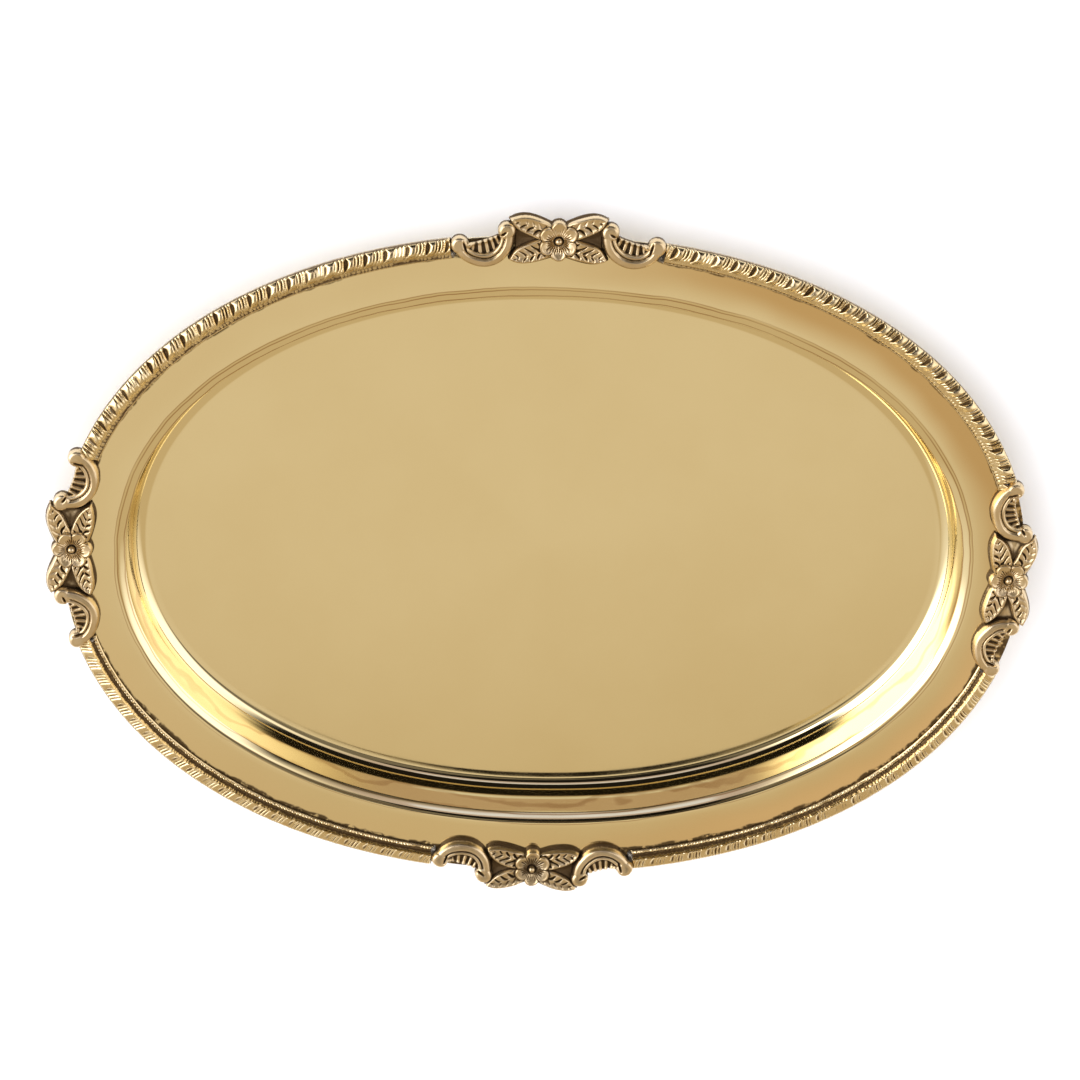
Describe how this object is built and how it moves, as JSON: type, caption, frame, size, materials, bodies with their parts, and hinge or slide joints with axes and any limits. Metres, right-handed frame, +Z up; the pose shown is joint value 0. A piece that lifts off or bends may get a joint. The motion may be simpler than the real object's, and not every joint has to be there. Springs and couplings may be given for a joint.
{
  "type": "serving tray",
  "caption": "Oval polished brass serving tray with a deep well, a flat flange, a cast gadroon border and cast flower-and-scroll ornaments.",
  "frame": {"origin": "underside of the flat base, at the centre of the oval", "axes": "+X along the tray's length, +Y along its width towards the back, +Z up out of the well"},
  "size_m": [0.3589, 0.2613, 0.0264],
  "materials": {
    "sheet_brass": "polished, mirror-like, with faint polishing lines and heat tint by the border",
    "border_brass": "cast, buffed on the high spots, brown patina in the grooves",
    "ornament_brass": "cast, buffed on the high spots, dark brown patina in the hollows",
    "solder": "dull grey-brown tin solder, lumpy, unpolished"
  },
  "bodies": {
    "root": {"tray_body": "sheet_brass", "border_back_left": "border_brass", "border_back_right": "border_brass", "border_front_left": "border_brass", "border_front_right": "border_brass", "ornament_back": "ornament_brass", "ornament_front": "ornament_brass", "ornament_left": "ornament_brass", "ornament_right": "ornament_brass", "solder_joints": "solder"}
  },
  "joints": []
}
